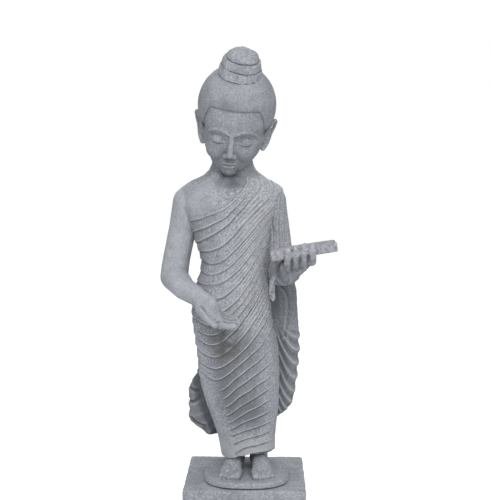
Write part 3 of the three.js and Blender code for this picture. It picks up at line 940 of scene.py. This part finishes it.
def finishes():
    """The materials, made once and found again by name."""
    if "Carved stone" not in bpy.data.materials:
        colours = bpy.context.scene.statue_colours
        grain, folds = grain_group(), fold_group()
        stone_material("Carved stone", colours, grain, folds)
        stone_material("Rubbed stone", colours, grain, folds, (0.97, 0.97, 0.98), 1.0, False)
        stone_material("Tablet stone", colours, grain, folds, (0.96, 0.92, 0.93), 1.0, False)
        stone_material("Plinth stone", colours, grain, folds, (0.97, 0.97, 0.97), carved=False)
        stone_material("Mortar", colours, grain, folds, (1.2, 1.2, 1.2), carved=False)
        steel_material()
    return bpy.data.materials


# ---------------------------------------------------------------- operators
class STATUE_OT_figure(Operator):
    """Fuses the body, right forearm and left hand, carves the robe, and saws them apart at the joints"""
    bl_idname = "statue.figure"
    bl_label = "Carve body and arms"

    def execute(self, context):
        sizes = context.scene.statue_sizes
        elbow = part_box("right_forearm")[1].z
        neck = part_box("head_block")[0].z
        form = welded("body_block")
        for node, axis, seat in (("right_forearm", 2, elbow), ("left_hand", 1, CUFF_Y)):
            block = welded(node)
            for vert in block.verts:
                if abs(vert.co[axis] - seat) < AT_JOINT:
                    vert.co[axis] += OVERLAP
            add_mesh(form, mesh_of(block, "part"))
        neck_forms(form)
        robe_end(form)
        finger_webs(form)
        mesh = fused(form, "figure", sizes.grid)
        relax(mesh, 5, keep=0.6)
        carve_robe(mesh, sizes)
        mark_hollows(mesh)
        form = add_mesh(bmesh.new(), thinned(mesh, FIGURE_TRIANGLES))
        far, near = 0.6, 0.02
        saw(form, NECK_POINT, NECK_WAY, (-far, -far, neck - 0.025), (far, far, neck + 0.025))
        saw(form, (0, 0, elbow), (0, 0, 1), (-far, -far, elbow - near), (RIGHT_ARM_X, far, elbow + near))
        saw(form, (0, CUFF_Y, 0), (0, 1, 0), (LEFT_HAND_X, CUFF_Y - near, SLEEVE_Z),
            (far, CUFF_Y + near, 0.76))
        shells = islands(form)
        for name, node, inside, slot in (
                ("robed_body", "body_block", (0, 0.1, 0.5), "stone"),
                ("open_right_hand", "right_forearm", (-0.02, -0.2, 0.54), "stone"),
                ("raised_left_hand", "left_hand", (0.14, -0.23, 0.72), "pale_stone")):
            own = shell_near(form, shells, inside)
            close_cuts(own)
            finish_piece(mesh_of(own, name), name, [node], "Carved stone")
        form.free()
        return {"FINISHED"}


def neck_forms(form):
    """The neck and the slope of the shoulders, which the body and the head share."""
    limb(form, mm_balls((-37, 8, 900, 56), (-36, 1, 1000, 55)), detail=4)
    slope = [
        (0, 900), (80, 900), (85, 918), (77, 930), (67, 940), (60.5, 952), (57, 966), (54, 985), (0, 985)]
    flare = bmesh.new()
    lathe(flare, [(radius * MM, height * MM) for radius, height in slope], 64)
    place = Matrix.Translation((-0.037, 0.009, 0)) @ Matrix.Diagonal((1, 0.79, 1, 1))
    bmesh.ops.transform(flare, matrix=place, verts=flare.verts)
    add_mesh(form, mesh_of(flare, "flare"))


def mm_balls(*balls):
    return [tuple(value * MM for value in row) for row in balls]


def robe_end(form):
    """The narrow pleated end of the robe that hangs at the left hip."""
    limb(form, mm_balls(
        (89, -89, 694, 6), (87, -90, 650, 6), (80, -91, 637, 6.5), (78, -91, 583, 6.5)))
    limb(form, mm_balls((84, -86, 690, 6), (81, -86, 648, 6), (73, -88, 634, 6), (72, -88, 588, 6)))


def finger_webs(form):
    """The stone left standing between the fingers of the left hand, before the tablet."""
    for i, top in enumerate((722, 729, 733)):
        x, foot = 126.5 + 21 * i, 690 + 5 * i
        limb(form, mm_balls(
            (x, -211, foot, 9), (x, -222, foot + 15, 8), (x, -226, top - 8, 9), (x, -226, top, 8.5)))


class STATUE_OT_head(Operator):
    """Fuses the head from simple forms, and carves the face, the ears and the edge of the hair"""
    bl_idname = "statue.head"
    bl_label = "Carve head"

    def execute(self, context):
        sizes = context.scene.statue_sizes
        form = bmesh.new()
        head_forms(form)
        bmesh.ops.transform(form, matrix=HEAD_PLACE, verts=form.verts)
        neck_forms(form)
        mesh = fused(form, "head", sizes.fine_grid)
        relax(mesh, 7, keep=0.5)
        carve_head(mesh, sizes)
        mark_hollows(mesh)
        form = add_mesh(bmesh.new(), thinned(mesh, HEAD_TRIANGLES))
        bmesh.ops.bisect_plane(
            form, geom=form.verts[:] + form.edges[:] + form.faces[:], dist=1e-6,
            plane_co=NECK_POINT, plane_no=NECK_WAY, clear_inner=True)
        close_cuts(form)
        finish_piece(mesh_of(form, "bowed_head"), "bowed_head", ["head_block"], "Carved stone")
        return {"FINISHED"}


def head_forms(form):
    """The head before carving, upright about its own centre, in metres: -Y is the face."""
    ball(form, (0, 0.014, 0.052), (0.1015, 0.106, 0.106), detail=5)  # skull under the hair
    ball(form, (0, -0.012, 0.028), (0.089, 0.088, 0.074), detail=5)  # forehead
    ball(form, (0, -0.004, -0.030), (0.083, 0.088, 0.090), detail=5)  # cheeks and temples
    ball(form, (0, -0.026, -0.074), (0.060, 0.060, 0.054), detail=5)  # jaw
    ball(form, (0, -0.066, -0.107), (0.024, 0.022, 0.021))  # chin
    ball(form, (0, -0.070, -0.084), (0.032, 0.026, 0.024))  # mouth
    limb(form, [(0, -0.092, 0.004, 0.0070), (0, -0.100, -0.028, 0.0078), (0, -0.108, -0.054, 0.0095)])
    for side in (-1, 1):
        ball(form, (side * 0.0115, -0.100, -0.059), (0.0080, 0.0100, 0.0070))
        ball(form, (side * 0.036, -0.058, -0.052), (0.034, 0.033, 0.034))
        limb(form, [(side * 0.010, -0.0935, 0.000, 0.0055), (side * 0.030, -0.0915, 0.010, 0.0060),
                    (side * 0.050, -0.0780, 0.006, 0.0055), (side * 0.064, -0.0640, -0.004, 0.0045)])
        ball(form, (side * 0.0345, -0.0780, -0.021), (0.0205, 0.0140, 0.0125))
        ear_forms(form, side)
    ball(form, (0, -0.0925, -0.0820), (0.0215, 0.0070, 0.0048))
    ball(form, (0, -0.0915, -0.0915), (0.0165, 0.0080, 0.0058))


def ear_forms(form, side):
    """A long-lobed ear that stands away from the head at its top: a rim, the body inside it, the lobe."""
    rim = [(0.006, -0.020), (0.004, -0.006), (0.012, 0.011), (0.025, 0.018), (0.037, 0.011),
           (0.043, -0.006), (0.038, -0.024), (0.029, -0.040), (0.022, -0.050)]
    flare = [(side * (0.087 + 0.42 * y + 0.33 * max(z + 0.02, 0)), y, z) for y, z in rim]
    limb(form, [(*place, 0.0048) for place in flare])
    turn = Matrix.Rotation(side * math.radians(-20), 4, "Z")
    ball(form, (side * 0.093, 0.023, -0.010), (0.0080, 0.018, 0.026), turn)
    ball(form, (side * 0.084, 0.018, -0.022), (0.0100, 0.016, 0.036), turn)
    limb(form, [(side * 0.093, 0.020, -0.036, 0.0080), (side * 0.090, 0.014, -0.052, 0.0088),
                (side * 0.085, 0.009, -0.063, 0.0076)])


def carve_head(mesh, sizes):
    """Steps the hair out from the skin, and cuts the eyes, the mouth, the nostrils and the ears."""
    points, normals = points_of(mesh), normals_of(mesh)
    turned = np.array(HEAD_PLACE.inverted())
    own = points @ turned[:3, :3].T + turned[:3, 3]
    flat_normals = normals @ turned[:3, :3].T
    x, y, z = own.T
    # the hairline runs level over the forehead, down past the temples and round behind the ears
    round_head = np.degrees(np.arctan2(np.abs(x), 0.010 - y))
    line = 0.064 - 0.060 * smooth_step(round_head, 38, 64) - 0.080 * smooth_step(round_head, 104, 122)
    ear = (np.abs(x) > 0.0845 + 0.5 * np.clip(z + 0.01, 0, 1)) & (z < 0.026) & (y > -0.004) & (y < 0.052)
    above = np.clip((z - line) / 0.013, 0, 1)
    hair = np.sqrt(1 - (1 - above) ** 2) * ~ear
    cut = sizes.hair_edge * hair
    front = flat_normals[:, 1] < -0.1
    for side in (-1, 1):
        across = side * x
        inward = (across - 0.0345) / 0.021
        lids = -0.0265 - 0.0040 * (1 - inward ** 2) + 0.0015 * inward
        near = (np.abs(inward) < 1.15) & front
        slit = ridge(z - lids, 0.0013) * smooth_step(1.15 - np.abs(inward), 0, 0.2)
        cut -= 1.7 * MM * slit * near
        lid = ridge(z - lids - 0.0035, 0.002) * smooth_step(1.1 - np.abs(inward), 0, 0.3)
        cut += 0.8 * MM * lid * near
        crease = lids + 0.0135 - 0.004 * inward ** 2
        cut -= 1.2 * MM * ridge(z - crease, 0.0022) * near
        cut -= 2.4 * MM * bump(own, (side * 0.0060, -0.108, -0.0665), (0.0046, 0.008, 0.0042))
        cut -= 2.5 * MM * bump(own, (side * 0.020, -0.090, -0.018), (0.014, 0.02, 0.012))
        cut -= 4.5 * MM * bump(own, (side * 0.104, 0.022, -0.006), (0.022, 0.012, 0.020))
        cut -= 1.5 * MM * bump(own, (side * 0.0255, -0.086, -0.0855), (0.006, 0.02, 0.005))
    parting = -0.0870 + 0.0022 * (np.abs(x) / 0.026) ** 2 - 0.0006 * np.cos(x / 0.026 * math.pi)
    mouth = ridge(z - parting, 0.0013) * smooth_step(0.028 - np.abs(x), 0, 0.006) * front
    cut -= 2.0 * MM * mouth
    cut -= 1.2 * MM * bump(own, (0, -0.1, -0.073), (0.004, 0.02, 0.007))
    cut -= 1.0 * MM * bump(own, (0, -0.09, -0.1000), (0.014, 0.02, 0.004))
    # two rings round the neck
    for height in (0.9365, 0.953):
        ring = ridge(points[:, 2] - height - 0.06 * (points[:, 1] + 0.05), 0.0016)
        cut -= 1.0 * MM * ring * (z < -0.10)
    cut += 0.22 * MM * ripple(points, 0.016, 41)
    points += normals * cut[:, None]
    # a level seat for the hair knot
    placed = np.array(KNOT_PLACE)
    on_knot = (points - placed[:3, 3]) @ placed[:3, :3]
    seat = (np.hypot(on_knot[:, 0], on_knot[:, 1]) < 0.0590) & (np.abs(on_knot[:, 2]) < 0.03)
    on_knot[seat, 2] = 0
    move_to(mesh, on_knot @ placed[:3, :3].T + placed[:3, 3])
    # darker tone over the head, more over the middle of the face and on the hair along the hairline, plus
    # the painted shadow under the chin
    face = 0.45 + 0.4 * bump(own, (0, -0.08, -0.08), (0.09, 0.08, 0.08))
    edge = 0.35 + 0.55 * ridge(z - line, 0.02) * (round_head < 90)
    soot = np.where(z < -0.13, 0.0, np.where(hair > 0, edge, face)) + chin_shade(points)
    mark(mesh, "soot", soot * np.clip(0.9 + 0.35 * ripple(points, 0.05, 42), 0, 1.3))
    mark(mesh, "grit", np.where(hair > 0.5, 0.62, 0.8))


class STATUE_OT_topknot(Operator):
    """Spins the three coils of the hair knot and settles them on the head"""
    bl_idname = "statue.topknot"
    bl_label = "Carve hair knot"

    def execute(self, context):
        outline = [(0.0, 0.3 * MM)]
        for foot, top, wide, narrow in KNOT_COILS:
            for i in range(17):
                t = i / 16
                undercut = 4.5 * (1 - min(1, 5 * t)) ** 2
                if narrow:
                    radius = wide + (narrow - wide) * t ** 1.6 - undercut
                else:
                    radius = wide * (1 - t ** 2.6) ** 0.5 - undercut
                outline.append((radius * MM, (foot + (top - foot) * t + 0.3) * MM))
        form = bmesh.new()
        lathe(form, outline, 120)
        bmesh.ops.transform(form, matrix=KNOT_PLACE, verts=form.verts)
        mesh = mesh_of(form, "coiled_topknot")
        roughen(mesh, (1.3, 0.035, 51), (0.8, 0.012, 52))
        finish_piece(mesh, "coiled_topknot", ["topknot"], "Rubbed stone")
        return {"FINISHED"}


class STATUE_OT_tablet(Operator):
    """Cuts the tablet, with worn edges"""
    bl_idname = "statue.tablet"
    bl_label = "Cut tablet"

    def execute(self, context):
        form = bmesh.new()
        middle, size, slope = (0.158, -0.168, 0.728), (0.176, 0.092, 0.025), math.radians(8.6)
        place = (Matrix.Translation(middle) @ Matrix.Rotation(-slope, 4, "Y")
                 @ Matrix.Diagonal((*size, 1)))
        bmesh.ops.create_cube(form, size=1, matrix=place)
        worn_block(form, 3 * MM, 3.2 * MM)
        mesh = mesh_of(form, "held_tablet")
        roughen(mesh, (0.5, 0.03, 61), (0.3, 0.009, 62))
        finish_piece(mesh, "held_tablet", ["tablet"], "Tablet stone")
        return {"FINISHED"}


def worn_block(form, round_edge, spacing):
    """Rounds a block's edges and divides its faces finely enough to roughen them."""
    bmesh.ops.bevel(
        form, geom=form.edges[:], offset=round_edge, offset_type="OFFSET", segments=3,
        affect="EDGES", profile=0.5, material=-1)
    for _ in range(9):
        long_edges = [e for e in form.edges if e.calc_length() > spacing * 1.5]
        if not long_edges:
            break
        bmesh.ops.subdivide_edges(form, edges=long_edges, cuts=1, use_grid_fill=True)
    bmesh.ops.triangulate(form, faces=form.faces)


class STATUE_OT_feet(Operator):
    """Fuses and softens the feet on their oval step"""
    bl_idname = "statue.feet"
    bl_label = "Carve feet"

    def execute(self, context):
        sizes = context.scene.statue_sizes
        mesh = fused(welded("foot_block"), "bare_feet", sizes.fine_grid)
        relax(mesh, 6, keep=0.6)
        roughen(mesh, (0.3, 0.02, 71))
        mesh = thinned(mesh, FEET_TRIANGLES)
        finish_piece(mesh, "bare_feet", ["foot_block"], "Rubbed stone")
        return {"FINISHED"}


class STATUE_OT_base(Operator):
    """Cuts the plinth with worn edges, and gives the mortar bed and the dowels their finishes"""
    bl_idname = "statue.base"
    bl_label = "Cut plinth and set dowels"

    def execute(self, context):
        low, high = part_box("plinth")
        form = bmesh.new()
        place = Matrix.Translation((low + high) / 2) @ Matrix.Diagonal((*(high - low), 1))
        bmesh.ops.create_cube(form, size=1, matrix=place)
        worn_block(form, 5 * MM, 5 * MM)
        mesh = mesh_of(form, "square_plinth")
        above_ground = smooth_step(points_of(mesh)[:, 2], 0.002, 0.008)
        roughen(mesh, (0.7, 0.05, 81), (0.4, 0.014, 82), share=above_ground)
        finish_piece(mesh, "square_plinth", ["plinth"], "Plinth stone")
        for name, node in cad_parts.items():
            finish = "Mortar" if name == "mortar_bed" else "Drawn steel" if "dowel" in name else None
            if finish:
                node.data.materials.clear()
                node.data.materials.append(finishes()[finish])
        return {"FINISHED"}


def floor_material():
    """White paper that is lit a little from behind, so that only the shadow near the plinth shows."""
    paper, tree, shader = new_material("Pale floor")
    shader.inputs["Base Color"].default_value = (0.86, 0.86, 0.87, 1)
    shader.inputs["Roughness"].default_value = 0.9
    path = tree.nodes.new("ShaderNodeLightPath")
    shader.inputs["Emission Color"].default_value = (1, 1, 1, 1)
    glow = times(tree, path.outputs["Is Camera Ray"], 0.42)
    tree.links.new(glow, shader.inputs["Emission Strength"])
    return paper


class STATUE_OT_stage(Operator):
    """Sets the pale floor, the soft light and the camera"""
    bl_idname = "statue.stage"
    bl_label = "Set the stage"

    def execute(self, context):
        scene = context.scene
        eye = bpy.data.cameras.new("Camera")
        eye.lens = 67.7
        eye.sensor_width = 36
        camera = bpy.data.objects.new("Camera", eye)
        scene.collection.objects.link(camera)
        swing, tilt, away = math.radians(1.32), math.radians(5.34), 2.6626
        camera.location = (away * math.sin(swing), -away * math.cos(swing), 0.9615)
        camera.rotation_euler = (math.pi / 2 - tilt, 0, swing)
        scene.camera = camera

        form = bmesh.new()
        bmesh.ops.create_grid(form, x_segments=1, y_segments=1, size=6)
        floor = piece_of(mesh_of(form, "floor"), "floor")
        floor.data.materials.append(floor_material())

        for name, spot, size, power, colour in (
                ("Key", (0.35, -2.9, 2.5), 2.0, 66, (1, 0.985, 0.965)),
                ("Top", (0.2, 0.2, 3.4), 2.2, 10, (0.96, 0.98, 1.0))):
            lamp = bpy.data.lights.new(name, "AREA")
            lamp.energy = power
            lamp.size = size
            lamp.color = colour
            light = bpy.data.objects.new(name, lamp)
            light.location = spot
            aim = Vector((0, 0, 0.75)) - Vector(spot)
            light.rotation_euler = aim.to_track_quat("-Z", "Y").to_euler()
            scene.collection.objects.link(light)

        world = bpy.data.worlds.new("Soft sky")
        world.use_nodes = True
        tree = world.node_tree
        sky = tree.nodes["Background"]
        way = tree.nodes.new("ShaderNodeTexCoord")
        split = tree.nodes.new("ShaderNodeSeparateXYZ")
        tree.links.new(way.outputs["Generated"], split.inputs[0])
        fall = remap(tree, split.outputs["Z"], -0.3, 0.9, 0.28, 0.86)
        path = tree.nodes.new("ShaderNodeLightPath")
        seen = tree.nodes.new("ShaderNodeMix")
        seen.inputs["B"].default_value = 1.0
        tree.links.new(path.outputs["Is Camera Ray"], seen.inputs["Factor"])
        tree.links.new(fall, seen.inputs["A"])
        tree.links.new(seen.outputs["Result"], sky.inputs["Strength"])
        colour = mix(tree, path.outputs["Is Camera Ray"], (0.98, 0.99, 1.0), (1.0, 1.0, 1.0))
        tree.links.new(colour, sky.inputs["Color"])
        scene.world = world
        scene.view_settings.view_transform = "Standard"
        return {"FINISHED"}


class STATUE_PT_carver(Panel):
    bl_label = "Standing Buddha"
    bl_idname = "STATUE_PT_carver"
    bl_space_type = "VIEW_3D"
    bl_region_type = "UI"
    bl_category = "Statue"

    def draw(self, context):
        for group in (context.scene.statue_sizes, context.scene.statue_colours):
            for name in group.__annotations__:
                self.layout.prop(group, name)
        for operator in STEPS:
            self.layout.operator(operator.bl_idname)


STEPS = (STATUE_OT_stage, STATUE_OT_figure, STATUE_OT_head, STATUE_OT_topknot, STATUE_OT_tablet,
         STATUE_OT_feet, STATUE_OT_base)
CLASSES = (StatueSizes, StatueColours, *STEPS, STATUE_PT_carver)


def register():
    for cls in CLASSES:
        bpy.utils.register_class(cls)
    bpy.types.Scene.statue_sizes = PointerProperty(type=StatueSizes)
    bpy.types.Scene.statue_colours = PointerProperty(type=StatueColours)


def unregister():
    del bpy.types.Scene.statue_colours
    del bpy.types.Scene.statue_sizes
    for cls in reversed(CLASSES):
        bpy.utils.unregister_class(cls)


def main():
    register()
    for step in STEPS:
        group, name = step.bl_idname.split(".")
        getattr(getattr(bpy.ops, group), name)()


if __name__ == "__main__":
    main()
